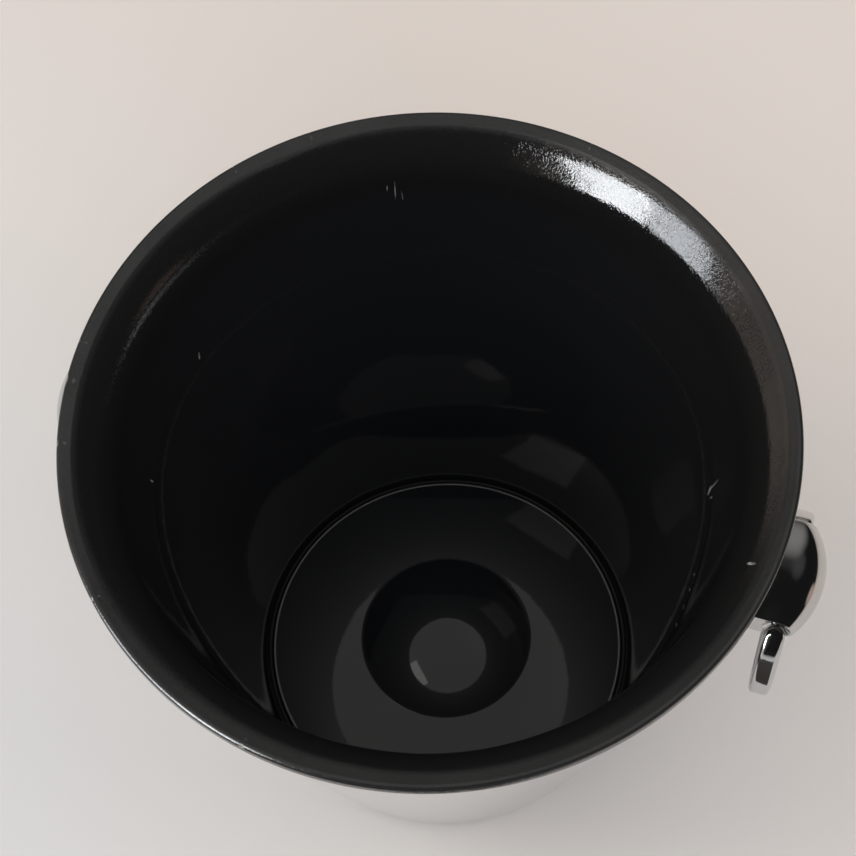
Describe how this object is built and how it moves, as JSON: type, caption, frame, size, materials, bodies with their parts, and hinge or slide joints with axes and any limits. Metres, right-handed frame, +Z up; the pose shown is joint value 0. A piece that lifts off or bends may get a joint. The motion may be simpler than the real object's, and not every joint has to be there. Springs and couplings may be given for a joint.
{
  "type": "wine bucket",
  "caption": "Double-walled bucket for ice and a bottle: a flared bright shell with a thin dark liner, and a swinging ring handle in a cast lug on each side.",
  "frame": {"origin": "middle of the base, on the surface that the bucket stands on", "axes": "+Z up along the bucket's axis; +X towards one ring handle, -X towards the other"},
  "size_m": [0.2368, 0.21, 0.188],
  "materials": {
    "shell": "mirror polished",
    "liner": "gloss black enamel on steel sheet, lightly scratched",
    "lugs": "cast, polished and plated",
    "rings": "bent bar, polished and plated",
    "fixings": "zinc-plated, plain"
  },
  "bodies": {
    "bucket": {"outer_shell": "shell", "liner": "liner", "lug_right": "lugs", "lug_left": "lugs", "lug_screws": "fixings", "lug_washers": "fixings"},
    "handle_right": {"ring_right": "rings"},
    "handle_left": {"ring_left": "rings"}
  },
  "joints": [
    {"name": "ring_right_swing", "type": "hinge", "parent": "bucket", "child": "handle_right", "pos_m": [0.108, 0, 0.1475], "axis": [0, -1, 0], "range_deg": [-22, 165]},
    {"name": "ring_left_swing", "type": "hinge", "parent": "bucket", "child": "handle_left", "pos_m": [-0.108, 0, 0.1475], "axis": [0, 1, 0], "range_deg": [-22, 165]}
  ]
}
